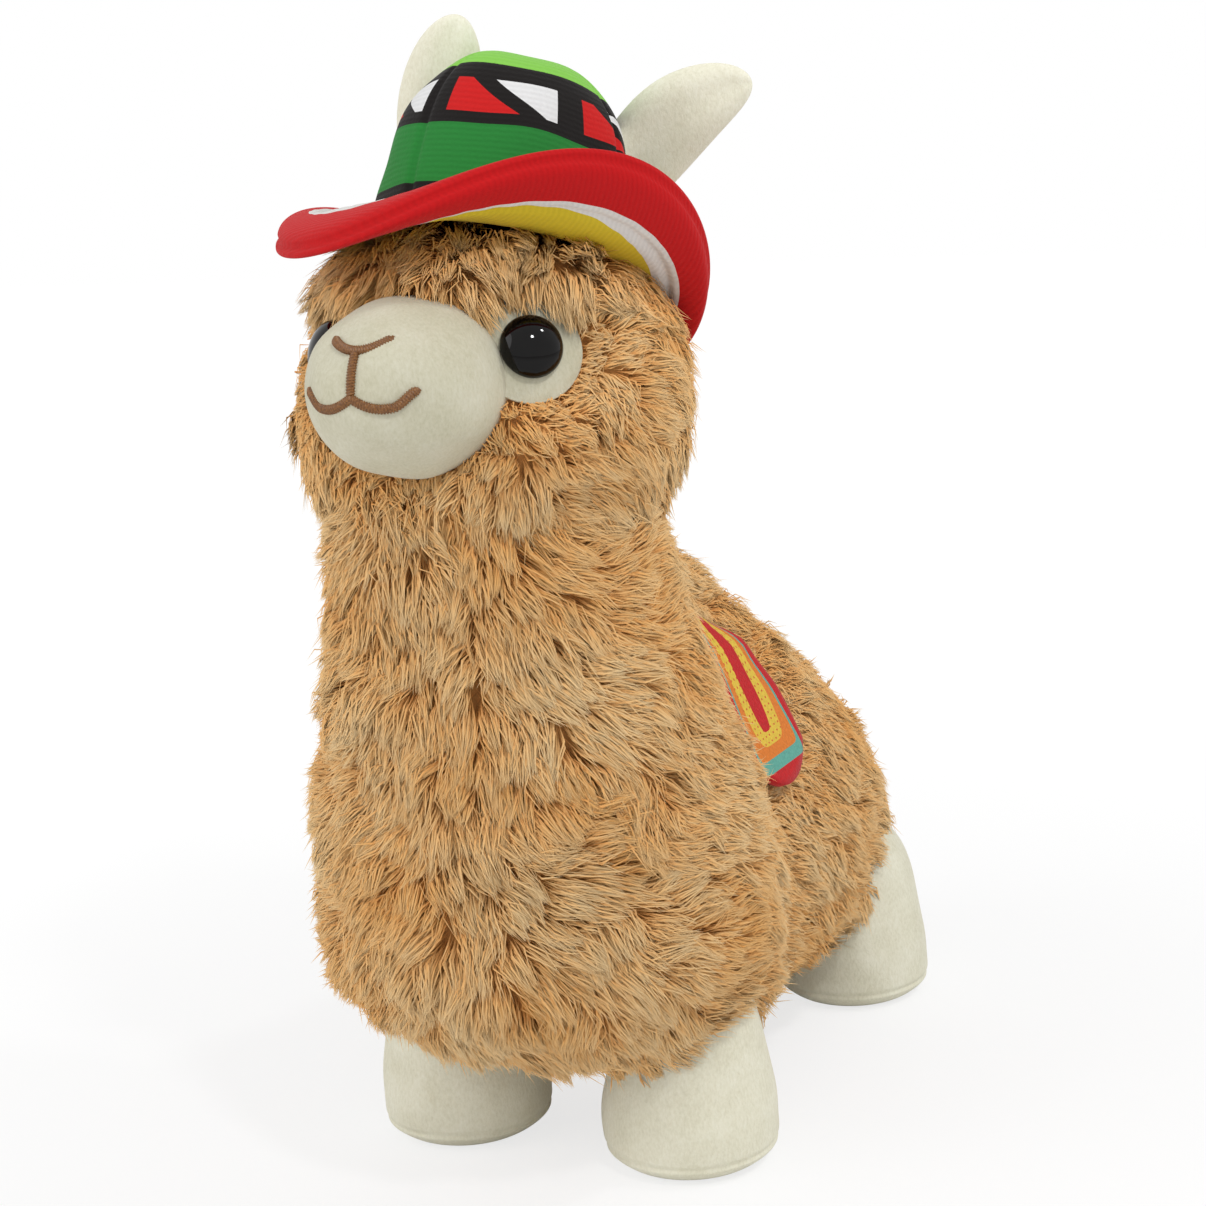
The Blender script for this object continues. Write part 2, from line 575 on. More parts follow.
# What both printed knits share: ribs as a wave bump, a slight fade on their crests, and a grain of loops.
def finishCloth(tree, shader, printed, ribs):
    wave = addNode(tree, "Math", [ribs], operation="SINE")
    place = addNode(tree, "TexCoord").outputs["Object"]
    loops = addNode(tree, "TexNoise", {"Vector": place, "Scale": 1.4 * perMillimetre, "Detail": 3.0})
    height = addNode(tree, "Math", [wave, hatPrint["ribWeight"], loops], operation="MULTIPLY_ADD")
    bump = addNode(tree, "Bump", {"Height": height, "Distance": 0.00022, "Strength": 0.5})
    fade = addNode(tree, "MapRange", {"Value": height, "To Min": 0.90, "To Max": 1.06})
    tone = addNode(tree, "VectorMath", {0: printed, "Scale": fade}, operation="SCALE")
    connect(shader, {"Base Color": tone, "Normal": bump})


# The crown: an oval dome over a straight wall. It is drawn in along each seam by a narrow bell curve, and
# slow dents show how loosely it is filled.
def makeCrown():
    rows, sides = 90, 240
    share = np.linspace(0, 1, rows + 2)[1:-1, None] ** 0.9
    angle = np.linspace(0, 2 * math.pi, sides, endpoint=False)[None, :]
    height = hat["crownBottom"] + (hat["crownTop"] - hat["crownBottom"]) * (1 - (1 - share) ** 1.6)
    over = np.maximum(height, 0) / hat["crownTop"]
    radius = hat["crownRadius"] * (1 - over ** hat["shoulder"]) ** 0.42
    pinch = 0 * angle
    for seam in hat["seams"]:
        away = (angle - math.radians(seam) + math.pi) % (2 * math.pi) - math.pi
        pinch = pinch + hat["seamDepth"] * np.exp(-(away * hat["crownRadius"] / hat["seamWidth"]) ** 2)
    above = smoothStep(height / 0.006)
    radius = radius - pinch * above
    points = np.stack([radius * np.cos(angle), radius * np.sin(angle), height + 0 * angle], -1)
    points += unit(points) * (hat["dent"] * ripple(points, hat["dentSize"], 3.0) * above)[..., None]
    v = np.clip(height / hat["crownTop"], 0, 1) + 0 * angle
    uv = np.stack([angle / (2 * math.pi) + 0 * height, v], -1)
    ends = np.array([[0.0, 0.0, hat["crownBottom"]], [0.0, 0.0, hat["crownTop"]]])
    bottom, top = placed(ends, hatFrame())
    made = addSkin("hatCrown", placed(points, hatFrame()), bottom, top, crownCloth(), uv)
    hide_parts("hat_crown")


# The brim: a padded ring. Its section goes out over the top, round the bound edge and back in underneath; the
# thickness grows outwards, pulled in a little along the binding's inner seam and along the edge's seam.
def makeBrim():
    around, sides = 240, 200
    angle = np.linspace(0, 2 * math.pi, around, endpoint=False)[:, None]
    v = np.linspace(0, 1, sides, endpoint=False)[None, :]
    turn = v * 2 * math.pi
    share = 0.5 - 0.5 * np.sign(np.cos(turn)) * np.abs(np.cos(turn)) ** 0.75
    side = np.sign(np.sin(turn)) * np.abs(np.sin(turn)) ** 0.45
    hole = hat["crownRadius"] + hat["gap"]
    band = 1 - hat["redBand"] / (hat["brimRadius"] - hole)
    thick = hat["innerThickness"] + (hat["edgeThickness"] - hat["innerThickness"]) * smoothStep(share / 0.8)
    thick = thick * (1 - hat["bindingPinch"] * np.exp(-((share - band) / 0.05) ** 2))
    nearBand = np.exp(-((share - band) / 0.15) ** 2)
    puckers = 1 + hat["puckerDepth"] * np.sin(angle * hat["puckers"] + 2 * np.sin(angle * 5)) * nearBand
    edgeSeam = hat["edgeSeam"] * np.exp(-((v - 0.5) / 0.005) ** 2)
    radius = hole + (hat["brimRadius"] - hole) * share - edgeSeam
    height = brimHeight(angle, share) + side * thick / 2 * puckers
    points = np.stack([radius * np.cos(angle), radius * np.sin(angle), height], -1)
    index = np.arange(around * sides).reshape(around, sides)
    ahead = np.roll(index, -1, 0)
    quads = np.stack([index, np.roll(index, -1, 1), np.roll(ahead, -1, 1), ahead], -1)
    drift = 1.4 * np.cos(angle + hatPrint["underTurn"]) - 0.5
    under = v + hatPrint["underDrift"] * drift * smoothStep((v - 0.70) / 0.03)
    uv = np.stack([angle / (2 * math.pi) + 0 * v, np.where(v > 0.9, v, under)], -1)
    points = placed(points, hatFrame()) + origin
    made = addPiece("hatBrim", points, [quads.reshape(-1, 4)], brimCloth(), uv)
    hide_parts("hat_brim")


makeCrown()
makeBrim()


print("blanket")

blanket = {
    "axisHeight": 0.0260 + 0.3 * 0.1300, "middleY": 0.0040, "halfLength": 0.0155,
    "waist": 0.35, "halfAngle": 70.0,
    "raise": 0.0026, "sink": 0.0055, "tuckFrom": 0.14, "tuckTo": 0.40, "rearShare": 0.12, "frontShare": 0.45,
    "rearReach": 0.30, "samples": 2400, "hiddenShare": 0.30, "flatSize": (0.165, 0.034), "flatArea": 0.0040,
}

# Each band's reach across and along from the middle, and the power that squares its corners.
blanketPrint = {
    "bands": ((0.455, 0.395, 16.0), (0.423, 0.365, 16.0), (0.394, 0.285, 5.0), (0.362, 0.13, 4.0)),
    "dashes": (("X", 420.0), ("Y", 90.0)), "dashAbove": 0.60,
}


# Printed short pile of the blanket. u and v are the place across the back and along it, each from 0 to 1.
# Each band starts where (u / its reach across) to a power, plus the same along, passes 1, and a high power
# gives square corners. From the rim inwards: red, teal, orange, yellow with red dashes, and a red field.
def blanketCloth():
    made, tree, shader = newMaterial("printedBlanketPlush", Roughness=0.85, Sheen_Weight=0.1,
                                     Specular_IOR_Level=0.15)
    parts = addNode(tree, "SeparateXYZ", [addNode(tree, "UVMap", uv_map="OFBake")])
    reach, marks = [], []
    for axis, count in blanketPrint["dashes"]:
        middle = addNode(tree, "Math", [parts.outputs[axis], 0.5], operation="SUBTRACT")
        reach.append(addNode(tree, "Math", [middle], operation="ABSOLUTE"))
        turns = addNode(tree, "Math", [parts.outputs[axis], count], operation="MULTIPLY")
        wave = addNode(tree, "Math", [turns], operation="SINE")
        marks.append(addNode(tree, "Math", [wave, blanketPrint["dashAbove"]], operation="GREATER_THAN"))
    dash = addNode(tree, "Math", marks, operation="MULTIPLY")
    dotted = addNode(tree, "Mix", {"Factor": dash, "A": toLinear("#DDBB42"), "B": toLinear("#C9542C")},
                     data_type="RGBA")
    red, teal, orange = (toLinear(colour) for colour in ("#BE1A1F", "#5FA596", "#D97A2C"))
    colour = red
    inners = (teal, orange, dotted.outputs["Result"], red)
    for (across, along, power), inner in zip(blanketPrint["bands"], inners):
        shares = []
        for size, edge in zip(reach, (across, along)):
            share = addNode(tree, "Math", [size, edge], operation="DIVIDE")
            shares.append(addNode(tree, "Math", [share, power], operation="POWER"))
        both = addNode(tree, "Math", shares, operation="ADD")
        inside = addNode(tree, "Math", [both, 1.0], operation="LESS_THAN")
        mix = addNode(tree, "Mix", {"Factor": inside, "A": colour, "B": inner}, data_type="RGBA")
        colour = mix.outputs["Result"]
    place = addNode(tree, "TexCoord").outputs["Object"]
    grain = addNode(tree, "TexNoise", {"Vector": place, "Scale": 1.3 * perMillimetre, "Detail": 3.0})
    fade = addNode(tree, "MapRange", {"Value": grain, "From Min": 0.3, "From Max": 0.7, "To Min": 0.85,
                                      "To Max": 1.08})
    tone = addNode(tree, "VectorMath", {0: colour, "Scale": fade}, operation="SCALE")
    bump = addNode(tree, "Bump", {"Height": grain, "Distance": 0.0003, "Strength": 0.6})
    connect(shader, {"Base Color": tone, "Normal": bump})
    return made


# The blanket: the CAD sheet, welded and subdivided. Its u is the angle from upright round the trunk's axis
# and its v the place along the back, over the length that is left at that angle. By the ridge its edges are
# drawn together and it sinks into the pile. On the flanks it is raised and its rear edge stands further back.
def makeBlanket():
    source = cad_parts["saddle_blanket"]
    form = bmesh.new()
    form.from_mesh(source.data)
    bmesh.ops.remove_doubles(form, verts=form.verts, dist=1e-6)
    bmesh.ops.subdivide_edges(form, edges=form.edges, cuts=2, use_grid_fill=True, smooth=0.0)
    mesh = bpy.data.meshes.new("saddleBlanket")
    form.to_mesh(mesh)
    form.free()
    points = np.empty(len(mesh.vertices) * 3)
    mesh.vertices.foreach_get("co", points)
    points = points.reshape(-1, 3) - origin
    u = np.arctan2(points[:, 0], points[:, 2] - blanket["axisHeight"]) / math.radians(blanket["halfAngle"])
    length = blanket["halfLength"] * (1 - blanket["waist"] * (1 - np.clip(u * u, 0, 1)) ** 2)
    v = (points[:, 1] - blanket["middleY"]) / length
    uv = np.stack([u, v], -1) * 0.5 + 0.5
    loops = np.empty(len(mesh.loops), np.int32)
    mesh.loops.foreach_get("vertex_index", loops)
    mesh.uv_layers.new(name="OFBake").data.foreach_set("uv", uv[loops].astype(np.float32).ravel())
    free = smoothStep((np.abs(u) - blanket["tuckFrom"]) / (blanket["tuckTo"] - blanket["tuckFrom"]))
    rear = blanket["rearShare"] + (1 - blanket["rearShare"]) * free
    rear = rear + blanket["rearReach"] * smoothStep((np.abs(u) - blanket["tuckTo"]) / 0.2)
    front = blanket["frontShare"] + (1 - blanket["frontShare"]) * free
    along = points[:, 1] - blanket["middleY"]
    points[:, 1] = blanket["middleY"] + along * np.where(along > 0, rear, front)
    ways = np.array([[0.0, 0.0, blanket["axisHeight"]]]) * np.ones((len(points), 1))
    ways[:, 1] = points[:, 1]
    lift = blanket["raise"] * free - blanket["sink"] * (1 - free)
    points += unit(points - ways) * lift[:, None] + origin
    mesh.vertices.foreach_set("co", points.ravel())
    mesh.materials.clear()
    mesh.materials.append(blanketCloth())
    mesh.shade_smooth()
    made = addObject("saddleBlanket", mesh)
    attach(made, "root")
    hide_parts("saddle_blanket")
    return made


saddle = makeBlanket()


print("cloth under the fur")

fur = {
    "bodyDepth": 0.0066, "headDepth": 0.0060, "tailDepth": 0.0040, "neckCut": 0.1740, "hemCut": 0.0315,
    "voxel": 0.0032, "bodyLift": 0.66, "headLift": 0.60, "tailLift": 0.55, "blanketRoom": 0.0040,
    "bodyLocks": 205000, "headLocks": 80000, "tailLocks": 5000, "locksInPiece": 32000,
    "bodyLength": 0.0122, "headLength": 0.0112, "tailLength": 0.0100,
    "bigClump": 0.0066, "smallClump": 0.0027, "tailClump": 0.006, "radius": 0.00018, "crimp": 0.0007,
    "softness": 0.85, "bigTurn": 1.3, "smallTurn": 0.8, "turnNoise": 0.14, "bigLift": 0.34, "smallLift": 0.26,
    "strays": 0.06, "middle": 0.45, "pulls": ((0.50, 1.2), (0.40, 1.5)), "edge": 0.0004, "faceBlend": 0.0060,
    "underBrim": 0.0010, "underRear": 0.0060,
}


# The cloth under the body's fur: the body with what it touches, remeshed in small cubes, smoothed, drawn in
# by the pile's depth, and cut level at the neck and above the hem.
def bodySkin():
    form = bmesh.new()
    for node in ("body", "head", "foot_front_left", "foot_front_right", "foot_rear_left", "foot_rear_right",
                 "saddle_blanket"):
        form.from_mesh(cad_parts[node].data)
    bmesh.ops.remove_doubles(form, verts=form.verts, dist=1e-6)
    mesh = bpy.data.meshes.new("bodyForm")
    form.to_mesh(mesh)
    form.free()
    made = addObject("bodyForm", mesh)
    remesh = made.modifiers.new("remesh", "REMESH")
    remesh.mode, remesh.voxel_size = "VOXEL", fur["voxel"]
    smooth = made.modifiers.new("smooth", "SMOOTH")
    smooth.factor, smooth.iterations = 0.6, 14
    inset = made.modifiers.new("inset", "DISPLACE")
    inset.strength, inset.mid_level = -fur["bodyDepth"], 0.0
    final = bpy.data.meshes.new_from_object(made.evaluated_get(bpy.context.evaluated_depsgraph_get()))
    bpy.data.objects.remove(made)
    form = bmesh.new()
    form.from_mesh(final)
    for level, way in ((fur["neckCut"], 1), (fur["hemCut"], -1)):
        whole = form.verts[:] + form.edges[:] + form.faces[:]
        cut = bmesh.ops.bisect_plane(form, geom=whole, plane_co=(0, 0, level), plane_no=(0, 0, way),
                                     clear_outer=True)
        rim = [item for item in cut["geom_cut"] if isinstance(item, bmesh.types.BMEdge)]
        bmesh.ops.holes_fill(form, edges=rim)
    bmesh.ops.triangulate(form, faces=form.faces)
    form.to_mesh(final)
    form.free()
    return final


# A mesh's points, triangles and point normals as arrays.
def arraysOf(mesh):
    points, normals = np.empty(len(mesh.vertices) * 3), np.empty(len(mesh.vertices) * 3)
    mesh.vertices.foreach_get("co", points)
    mesh.vertices.foreach_get("normal", normals)
    corners = np.empty(len(mesh.loops), np.int32)
    mesh.loops.foreach_get("vertex_index", corners)
    return points.reshape(-1, 3), corners.reshape(-1, 3), normals.reshape(-1, 3)


bodyPoints, bodyTriangles, _ = arraysOf(bodySkin())
bodyCloth = addPiece("bodyCloth", bodyPoints, [bodyTriangles], backing)
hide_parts("body")


# The cloth under the tail's fur: an oval ball that fills the CAD tail's box, less the pile's depth.
def makeTailCloth():
    low, high = (np.array(corner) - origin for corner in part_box("tail"))
    middle, size = (low + high) / 2, (high - low) / 2 - fur["tailDepth"]
    top, bottom = (np.array([0.0, 0.0, end]) * size + middle for end in (1.0, -1.0))
    made = addSkin("tailCloth", ball(40, 72) * size + middle, top, bottom, backing)
    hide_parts("tail")
    return made


tailCloth = makeTailCloth()


print("fur")


# Numbers between 0 and 1 from whole ones: the fraction of a large sine of their sum.
def scrambled(whole, salt):
    weights = np.array([[127.1, 269.5, 419.2], [311.7, 183.3, 371.9], [74.7, 246.1, 124.6]])
    return np.mod(np.sin(whole @ weights + salt * 17.3) * 43758.5453, 1.0)


# Which clump each root belongs to: the nearest seed of a cubic grid, each seed moved within its own cell.
def clumpIndex(points, size, salt):
    cell = np.floor(points / size)
    nearest = np.full(len(points), np.inf)
    chosen = cell.copy()
    for step in itertools.product((-1, 0, 1), repeat=3):
        here = cell + np.array(step)
        gap = (((here + scrambled(here, salt)) * size - points) ** 2).sum(1)
        closer = gap < nearest
        nearest = np.where(closer, gap, nearest)
        chosen = np.where(closer[:, None], here, chosen)
    cells, index = np.unique(chosen, axis=0, return_inverse=True)
    return index.reshape(-1), scrambled(cells, salt + 1.0)


# The mean of each group's vectors.
def groupMean(index, count, vectors):
    total = np.stack([np.bincount(index, vectors[:, k], count) for k in range(vectors.shape[1])], 1)
    return total / np.bincount(index, minlength=count)[:, None]


# Random places on a mesh, as many to each area, with the normals blended from its points.
def scatter(mesh, count, seed):
    points, triangles, normals = arraysOf(mesh)
    a, b, c = (points[triangles[:, k]] for k in range(3))
    area = np.linalg.norm(np.cross(b - a, c - a), axis=1)
    random = np.random.default_rng(seed)
    picked = np.searchsorted(np.cumsum(area) / area.sum(), random.random(count))
    first, second = np.sqrt(random.random(count))[:, None], random.random(count)[:, None]
    shares = (1 - first, first * (1 - second), first * second)
    place = sum(share * points[triangles[picked, k]] for k, share in enumerate(shares))
    normal = sum(share * normals[triangles[picked, k]] for k, share in enumerate(shares))
    return place - origin, unit(normal)


# Least distance from each place to the blanket, sampled at scattered points, up to a reach.
def toBlanket(places, reach=0.020):
    samples, _ = scatter(saddle.data, blanket["samples"], 5)
    turn = np.arctan2(np.abs(samples[:, 0]), samples[:, 2] - blanket["axisHeight"])
    samples = samples[turn > math.radians(blanket["halfAngle"]) * blanket["hiddenShare"]]
    near = np.flatnonzero(((places > samples.min(0) - reach) & (places < samples.max(0) + reach)).all(1))
    least = np.full(len(places), reach)
    for part in np.array_split(samples, 60):
        gap = np.linalg.norm(places[near, None] - part[None], axis=2).min(1)
        least[near] = np.minimum(least[near], gap)
    return least


# How far places on the head are outside the muzzle's oval: its scaled radius less 1, times its mean half.
def toMuzzle(own):
    away = (own - muzzleMiddle) / muzzleHalf
    return (np.linalg.norm(away, axis=1) - 1) * muzzleHalf.mean()


# The way out of the face at each eye.
def eyeAxis(side):
    return unit(np.array(eyeFrame(side))[:3, 3] - face["centre"])


# How far places on the head are outside the nearer patch: the arc from the eye's axis less its radius.
def toPatch(own):
    facing = np.max([unit(own) @ eyeAxis(side) for side in (-1, 1)], axis=0)
    return np.arccos(np.clip(facing, -1, 1)) * face["radius"] - face["patchRadius"]


# Height of the brim's middle surface at places in the hat's frame.
def underBrim(places):
    out = np.hypot(places[:, 0], places[:, 1])
    share = np.clip((out - hat["crownRadius"]) / (hat["brimRadius"] - hat["crownRadius"]), 0, 1)
    return brimHeight(np.arctan2(places[:, 1], places[:, 0]), share)


# The cloth under the head's fur: an oval, drawn in to the underside of the patches and the muzzle's root.
def makeHeadCloth():
    size = np.array([face["furRadius"], face["furRadius"], face["furHalfHeight"]]) - fur["headDepth"]
    shape = ball(90, 144)
    own = shape.reshape(-1, 3) * size
    level = np.linalg.norm(own, axis=1)
    inner = face["radius"] - face["patchThickness"] - fur["edge"]
    share = smoothStep(np.minimum(toMuzzle(own), toPatch(own)) / fur["faceBlend"])
    own *= ((inner + (level - inner) * share) / level)[:, None]
    inHat = placed(own + face["centre"], hatFrame().inverted())
    inHat[:, 2] = np.minimum(inHat[:, 2], underBrim(inHat) - hat["underHat"])
    rings = placed(inHat, hatFrame()).reshape(shape.shape)
    made = addSkin("headCloth", rings, rings[0].mean(0), rings[-1].mean(0), backing)
    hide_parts("head")
    return made


headCloth = makeHeadCloth()


# The part of a vector that lies along the cloth, at unit length.
def flattened(vector, normal):
    return unit(vector - normal * (vector * normal).sum(1, keepdims=True))


# How the body's fur lies: down the chest and fanning from its middle, turning back round the sides, and back
# and down along the trunk.
def bodyFlow(place, normal):
    x, y = place.T[:2]
    side = smoothStep(np.arctan2(np.abs(x), -(y + 0.062)) / math.radians(80))
    fan = np.tanh(x / 0.022) * (0.8 - 0.5 * side)
    chest = np.stack([fan, 0.95 * side, -1 + 0.7 * side], 1)
    trunk = np.stack([0.15 * np.tanh(x / 0.02), np.full(len(x), 0.75), np.full(len(x), -0.65)], 1)
    rear = smoothStep((y + 0.020) / 0.045)[:, None]
    return flattened(chest * (1 - rear) + trunk * rear, normal)


# Where the forelock is: the front of the head above the eyes.
def forelock(own):
    return smoothStep((own[:, 2] - 0.016) / 0.008) * smoothStep((0.012 - own[:, 1]) / 0.02)


# How the head's fur lies: the forelock forward and down to the brow, the cheeks away from the muzzle and the
# eyes, the rest down.
def headFlow(own, normal):
    x = own[:, 0]
    cheeks = unit(own - muzzleMiddle) * 0.9 + np.array([0.0, 0.15, -0.75])
    eye = np.where(x[:, None] > 0, eyeAxis(1), eyeAxis(-1)) * face["radius"]
    cheeks += unit(own - eye) * (2.0 * np.exp(-np.maximum(toPatch(own), 0) / 0.005))[:, None]
    front = np.stack([0.35 * np.tanh(x / 0.02), np.full(len(x), -0.8), np.full(len(x), -0.75)], 1)
    weight = (forelock(own) * smoothStep(toPatch(own) / 0.004))[:, None]
    return flattened(cheeks * (1 - weight) + front * weight, normal)


# A path of three places along each lock. It leaves the cloth at its lift and lies down: it runs along the
# flow evenly, rises by 1.75 t less 0.85 t squared, and sags with t squared.
def lockPath(root, normal, along, length, lift):
    t = np.array([0.0, fur["middle"], 1.0])[None, :, None]
    length, lift = length[:, None, None], lift[:, None, None]
    rise = np.sin(lift) * (1.75 * t - 0.85 * t * t)
    sag = np.array([0.0, 0.0, -0.08]) * t * t
    return root[:, None] + length * (np.cos(lift) * t * along[:, None] + rise * normal[:, None] + sag)


# Fur on roots: the locks of a clump share a turn, a lift and a length, and draw together towards its tip,
# small clumps within large ones. Each lock is a three-sided spindle of six triangles, whose normals lean to
# the cloth's for a soft shading.
def growFur(name, root, normal, along, length, lift, seed, bigClump=fur["bigClump"]):
    random = np.random.default_rng(seed)
    count = len(root)
    t = np.array([0.0, fur["middle"], 1.0])[None, :, None]
    # Swirls 62 and 27 mm across turn the locks, and their shade wanders over 45 mm.
    swirl = 0.50 * ripple(root, 0.062, seed) + 0.40 * ripple(root, 0.027, seed + 2)
    shade = 0.48 + 0.32 * ripple(root, 0.045, seed + 4)
    big, bigOwn = clumpIndex(root, bigClump, seed)
    small, smallOwn = clumpIndex(root, fur["smallClump"], seed + 9.0)
    turn = swirl + (bigOwn[big, 0] - 0.5) * fur["bigTurn"] + (smallOwn[small, 0] - 0.5) * fur["smallTurn"]
    turn = turn + random.normal(0, fur["turnNoise"], count)
    along = along * np.cos(turn)[:, None] + np.cross(normal, along) * np.sin(turn)[:, None]
    stray = random.random(count) < fur["strays"]
    lift = lift + (bigOwn[big, 1] - 0.5) * fur["bigLift"] + (smallOwn[small, 1] - 0.5) * fur["smallLift"]
    lift = np.where(stray, lift * 1.3, lift)
    length = length * (0.86 + 0.24 * bigOwn[big, 2]) * (0.88 + 0.24 * smallOwn[small, 2])
    length = length * random.uniform(0.80, 1.10, count)
    paths = lockPath(root, normal, along, length, lift)
    for (index, own), (pull, power) in zip(((small, smallOwn), (big, bigOwn)), fur["pulls"]):
        middle = groupMean(index, len(own), paths.reshape(count, -1)).reshape(-1, 3, 3)
        weight = pull * t ** power * np.where(stray, 0.25, 1.0)[:, None, None]
        paths = paths + (middle[index] - paths) * weight
    paths[:, 1] += random.normal(0, fur["crimp"], (count, 3))
    tangent = unit(paths[:, 2] - paths[:, 0])
    side = unit(np.cross(tangent, normal))
    up = np.cross(side, tangent)
    radius = fur["radius"] * random.uniform(0.7, 1.3, count)[:, None, None]
    corner = np.radians([90.0, 210.0, 330.0])[None, :, None]
    spread = 1.2 * side[:, None] * np.cos(corner) + 0.8 * up[:, None] * np.sin(corner)
    points = np.concatenate([paths[:, :1], paths[:, 1, None] + radius * spread, paths[:, 2:]], 1)
    soft = fur["softness"]
    facing = np.concatenate([up[:, None], unit(spread), up[:, None]], 1)
    normals = unit(facing * (1 - soft) + normal[:, None] * soft)
    shade = np.clip(shade + (bigOwn[big, 2] - 0.5) * 0.25 + (smallOwn[small, 2] - 0.5) * 0.35
                    + random.normal(0, 0.10, count), 0.02, 0.98)
    v = np.array([0.0, *[fur["middle"]] * 3, 1.0])
    uv = np.stack([np.repeat(shade[:, None], 5, 1), np.repeat(v[None], count, 0)], -1)
    template = np.array([[0, 2, 1], [0, 3, 2], [0, 1, 3], [1, 2, 4], [2, 3, 4], [3, 1, 4]])
    for part, chosen in enumerate(np.array_split(np.arange(count), math.ceil(count / fur["locksInPiece"]))):
        faces = (np.arange(len(chosen))[:, None, None] * 5 + template).reshape(-1, 3)
        addPiece(f"{name}{part + 1}", points[chosen] + origin, [faces], fibreFur, uv[chosen],
                 normals[chosen])
    print(name, count, "locks")


# The body's fur: none under the blanket, and short round it.
def bodyFur():
    root, normal = scatter(bodyCloth.data, fur["bodyLocks"], 11)
    room = toBlanket(root)
    rearY = footPlace["frontY"] + footPlace["stride"]
    gap = np.minimum(np.abs(root[:, 1] - footPlace["frontY"]), np.abs(root[:, 1] - rearY))
    away = np.hypot(np.abs(root[:, 0]) - footPlace["track"] / 2, gap)
    inFoot = away < np.interp(root[:, 2], [0.024, 0.038, 0.047, 0.050], [0.0200, 0.0180, 0.0130, 0.0])
    onSide = (root[:, 2] > fur["hemCut"] + fur["edge"]) & (root[:, 2] < fur["neckCut"] - fur["edge"])
    keep = (room > fur["blanketRoom"]) & onSide & ~inFoot
    root, normal, room = root[keep], normal[keep], room[keep]
    length = np.minimum(fur["bodyLength"], 0.0035 + 0.75 * (room - fur["blanketRoom"]))
    growFur("bodyFur", root, normal, bodyFlow(root, normal), length, fur["bodyLift"], 3)


# The head's fur: none under the hat, the muzzle and the eye patches, and shorter close to the face but for
# the forelock.
def headFur():
    root, normal = scatter(headCloth.data, fur["headLocks"], 12)
    inHat = placed(root, hatFrame().inverted())
    room = fur["underBrim"] + fur["underRear"] * smoothStep(inHat[:, 1] / 0.020)
    under = inHat[:, 2] < underBrim(inHat) - room
    own = root - face["centre"]
    near = np.minimum(toMuzzle(own), toPatch(own))
    keep = under & (toMuzzle(own) > -muzzle["furOverlap"]) & (toPatch(own) > 0.0)
    root, normal, own, near = root[keep], normal[keep], own[keep], near[keep]
    brow = 1.1 * forelock(own) * smoothStep(toPatch(own) / 0.0045)
    length = fur["headLength"] * np.maximum(0.45 + 0.55 * smoothStep(near / 0.014), brow)
    lift = fur["headLift"] + 0.25 * np.exp(-np.maximum(near, 0) / 0.004) - 0.12 * forelock(own)
    growFur("headFur", root, normal, headFlow(own, normal), length, lift, 5)


# The tail's fur: back and down.
def tailFur():
    root, normal = scatter(tailCloth.data, fur["tailLocks"], 13)
    along = flattened(np.tile([0.0, 0.5, -0.9], (len(root), 1)), normal)
    length = np.full(len(root), fur["tailLength"])
    growFur("tailFur", root, normal, along, length, fur["tailLift"], 7, fur["tailClump"])


bodyFur()
headFur()
tailFur()


print("camera, floor and light")

camera = {
    "azimuth": 25.75, "height": 0.2517, "distance": 0.6003, "aimHeight": 0.120,
    "turn": -0.714, "tip": 0.656, "roll": -3.75,
    "focalPixels": 2360.0, "picturePixels": 1206.0, "sensor": 36.0,
}

# Each lamp's name, place, size across and power.
studio = {
    "ambient": 0.64, "floorGlow": 0.72, "floorHalf": 3.0, "lampAim": (0.0, -0.02, 0.13),
    "lamps": (("frontCeilingLamp", (0.78, -0.59, 1.14), 0.14, 4.5),
              ("rearCeilingLamp", (0.83, 0.10, 1.20), 0.12, 3.0),
              ("windowLamp", (-0.85, -0.95, 0.85), 1.1, 6.0)),
}


# The camera: it stands at its azimuth, distance and height, looks at the aim height on the toy's axis, and is
# then turned, tipped and rolled a little.
def makeCamera():
    azimuth = math.radians(camera["azimuth"])
    place = np.array([math.sin(azimuth) * camera["distance"], -math.cos(azimuth) * camera["distance"],
                      camera["height"]])
    ahead = unit(np.array([0.0, 0.0, camera["aimHeight"]]) - place)
    right = unit(np.cross(ahead, [0.0, 0.0, 1.0]))
    up = np.cross(right, ahead)
    turn, tip, roll = (math.radians(camera[key]) for key in ("turn", "tip", "roll"))
    look = ahead * math.cos(turn) * math.cos(tip) + right * math.sin(turn) * math.cos(tip)
    look += up * math.sin(tip)
    level = unit(np.cross(look, [0.0, 0.0, 1.0]))
    above = np.cross(level, look)
    right = level * math.cos(roll) + above * math.sin(roll)
    up = above * math.cos(roll) - level * math.sin(roll)
    lens = bpy.data.cameras.new("camera")
    lens.sensor_width = camera["sensor"]
    lens.lens = camera["focalPixels"] * camera["sensor"] / camera["picturePixels"]
    lens.clip_start = 0.01
    made = addObject("camera", lens)
    matrix = np.eye(4)
    matrix[:3, 0], matrix[:3, 1], matrix[:3, 2], matrix[:3, 3] = right, up, -look, place + origin
    made.matrix_world = Matrix(matrix.tolist())
    bpy.context.scene.camera = made


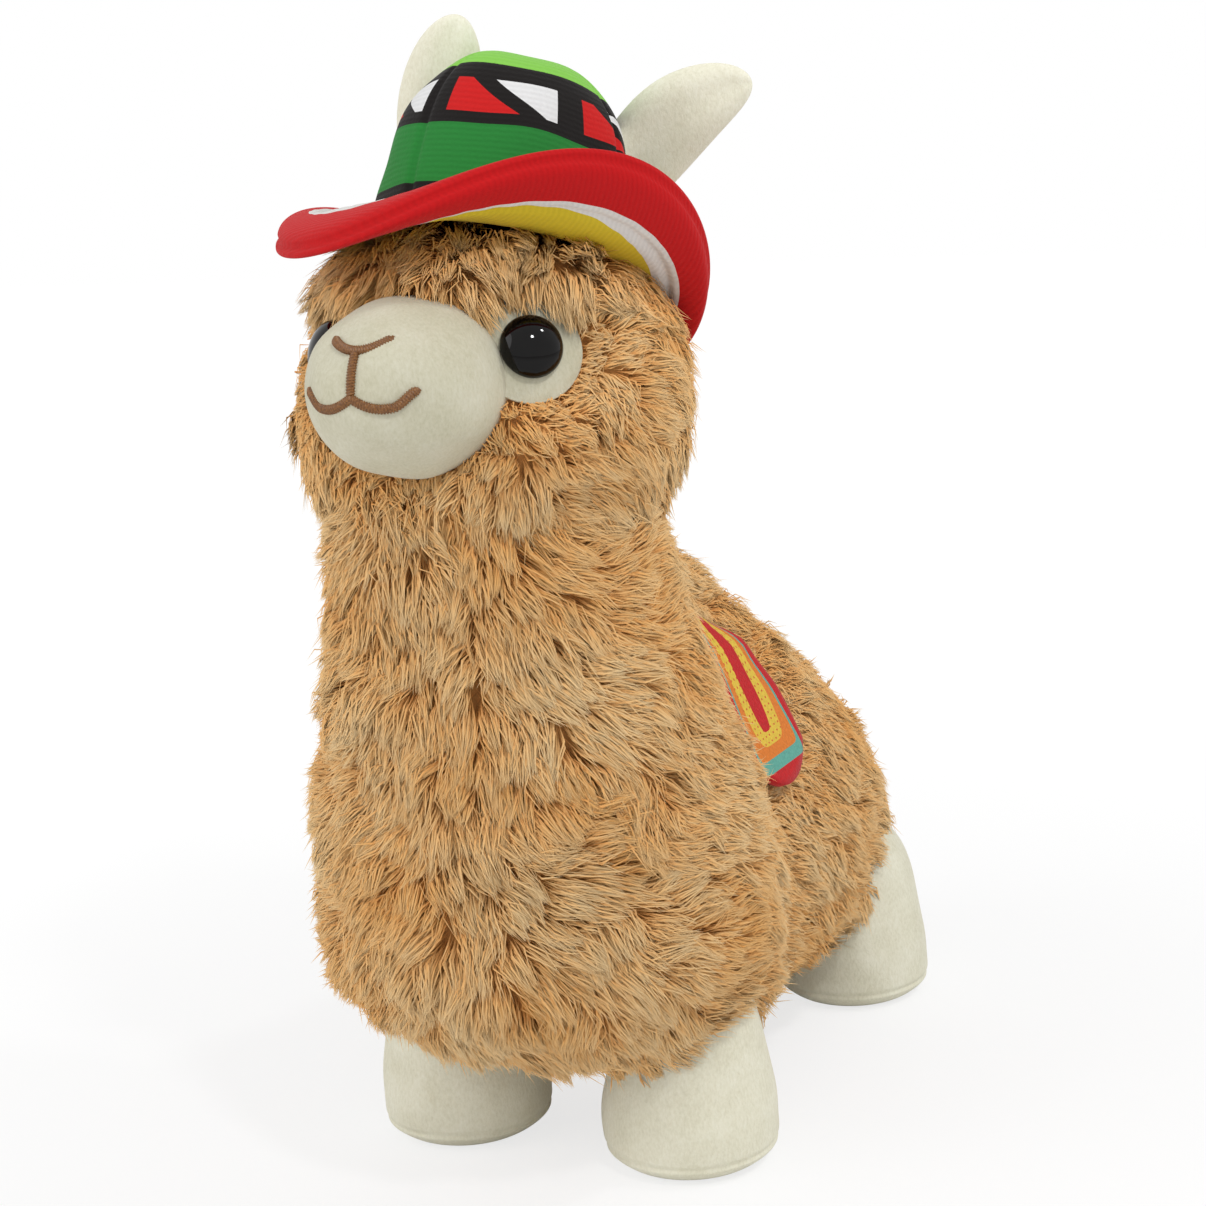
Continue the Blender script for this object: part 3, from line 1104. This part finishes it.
# A round area lamp at a place, aimed at the middle of the toy.
def addLamp(name, place, size, power):
    light = bpy.data.lights.new(name, "AREA")
    light.shape, light.size, light.energy = "DISK", size, power
    made = addObject(name, light)
    made.location = place
    made.rotation_mode = "QUATERNION"
    made.rotation_quaternion = (Vector(studio["lampAim"]) - Vector(place)).to_track_quat("-Z", "Y")


# White to the camera, to gloss and through glass, and a plain soft grey to everything else.
def makeWorld():
    world = bpy.data.worlds.new("studio")
    bpy.context.scene.world = world
    world.use_nodes = True
    tree = world.node_tree
    rays = addNode(tree, "LightPath")
    seen = addNode(tree, "Math", [rays.outputs["Is Camera Ray"], rays.outputs["Is Glossy Ray"]],
                   operation="MAXIMUM")
    shown = addNode(tree, "Math", [seen, rays.outputs["Is Transmission Ray"]], operation="MAXIMUM")
    strength = addNode(tree, "MapRange", {"Value": shown, "To Min": studio["ambient"]})
    connect(tree.nodes["Background"], {"Color": (1.0, 1.0, 1.0, 1.0), "Strength": strength})


# A white floor. It takes the toy's shadow close by, and fades further out into the backdrop's own white.
def makeFloor():
    made, tree, shader = newMaterial("whiteFloor", Base_Color=toLinear("#F4F4F4"), Roughness=0.9)
    place = addNode(tree, "TexCoord").outputs["Object"]
    away = addNode(tree, "VectorMath", [place], operation="LENGTH")
    far = addNode(tree, "MapRange", {"Value": away.outputs["Value"], "From Min": 0.12, "From Max": 0.42,
                                     "To Min": studio["floorGlow"]}, interpolation_type="SMOOTHSTEP")
    seenHere = addNode(tree, "LightPath").outputs["Is Camera Ray"]
    seen = addNode(tree, "Math", [seenHere, far], operation="MULTIPLY")
    glow = addNode(tree, "Emission", {"Color": (1.0, 1.0, 1.0, 1.0), "Strength": 1.02})
    mixed = addNode(tree, "MixShader", [seen, shader, glow])
    connect(tree.nodes["Material Output"], {"Surface": mixed})
    mesh = bpy.data.meshes.new("floor")
    half = studio["floorHalf"]
    corners = [(-half, -half, 0), (half, -half, 0), (half, half, 0), (-half, half, 0)]
    mesh.from_pydata(corners, [], [(0, 1, 2, 3)])
    mesh.materials.append(made)
    addObject("floor", mesh)


makeCamera()
makeWorld()
makeFloor()
for lamp in studio["lamps"]:
    addLamp(*lamp)
bpy.context.scene.view_settings.view_transform = "Standard"
